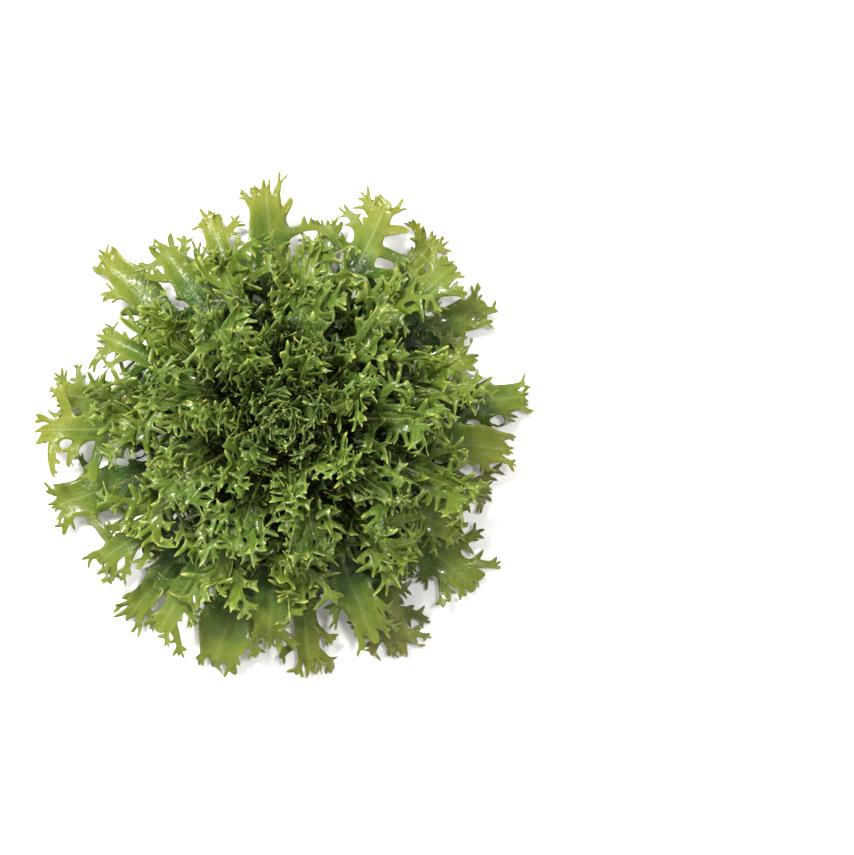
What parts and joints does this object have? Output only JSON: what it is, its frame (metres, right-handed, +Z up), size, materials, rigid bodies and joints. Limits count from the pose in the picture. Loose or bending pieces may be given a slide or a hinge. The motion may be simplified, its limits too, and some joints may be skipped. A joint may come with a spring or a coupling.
{
  "type": "curly endive head",
  "caption": "Head of curly endive cut at the root: rings of arched, deeply cut and toothed leaves on a short stump, the outer ones broad and spread, the inner ones fine and frilled.",
  "frame": {"origin": "centre of the cut face of the stump, in the plane that the head rests on", "axes": "+Z up out of the heart of the head; seen from straight above, +Y is the top of the head in the picture and +X its right"},
  "size_m": [0.2659, 0.2641, 0.1058],
  "materials": {
    "stump": "moist pale root flesh with a browned cut face",
    "outer_leaf": "waxy yellow-green leaf with a pale rib",
    "middle_leaf": "waxy mid green leaf with yellow-green edges",
    "inner_leaf": "glossy green frilled leaf",
    "heart_leaf": "glossy dark green fine-toothed leaf"
  },
  "bodies": {
    "root": {"stump": "stump", "low_leaf_01": "outer_leaf", "low_leaf_02": "outer_leaf", "low_leaf_03": "outer_leaf", "low_leaf_04": "outer_leaf", "low_leaf_05": "outer_leaf", "low_leaf_06": "outer_leaf", "low_leaf_07": "outer_leaf", "low_leaf_08": "outer_leaf", "low_leaf_09": "outer_leaf", "low_leaf_10": "outer_leaf", "low_leaf_11": "outer_leaf", "low_leaf_12": "outer_leaf", "low_leaf_13": "outer_leaf", "low_leaf_14": "outer_leaf", "high_leaf_01": "outer_leaf", "high_leaf_02": "outer_leaf", "high_leaf_03": "outer_leaf", "high_leaf_04": "outer_leaf", "high_leaf_05": "outer_leaf", "high_leaf_06": "outer_leaf", "high_leaf_07": "outer_leaf", "high_leaf_08": "outer_leaf", "high_leaf_09": "outer_leaf", "high_leaf_10": "outer_leaf", "high_leaf_11": "outer_leaf", "high_leaf_12": "outer_leaf", "high_leaf_13": "outer_leaf", "middle_leaf_01": "middle_leaf", "middle_leaf_02": "middle_leaf", "middle_leaf_03": "middle_leaf", "middle_leaf_04": "middle_leaf", "middle_leaf_05": "middle_leaf", "middle_leaf_06": "middle_leaf", "middle_leaf_07": "middle_leaf", "middle_leaf_08": "middle_leaf", "middle_leaf_09": "middle_leaf", "middle_leaf_10": "middle_leaf", "middle_leaf_11": "middle_leaf", "inner_leaf_01": "inner_leaf", "inner_leaf_02": "inner_leaf", "inner_leaf_03": "inner_leaf", "inner_leaf_04": "inner_leaf", "inner_leaf_05": "inner_leaf", "inner_leaf_06": "inner_leaf", "inner_leaf_07": "inner_leaf", "inner_leaf_08": "inner_leaf", "inner_leaf_09": "inner_leaf", "crown_leaf_01": "heart_leaf", "crown_leaf_02": "heart_leaf", "crown_leaf_03": "heart_leaf", "crown_leaf_04": "heart_leaf", "crown_leaf_05": "heart_leaf", "crown_leaf_06": "heart_leaf", "crown_leaf_07": "heart_leaf", "heart_leaf_01": "heart_leaf", "heart_leaf_02": "heart_leaf", "heart_leaf_03": "heart_leaf", "heart_leaf_04": "heart_leaf", "heart_bud": "heart_leaf"}
  },
  "joints": []
}
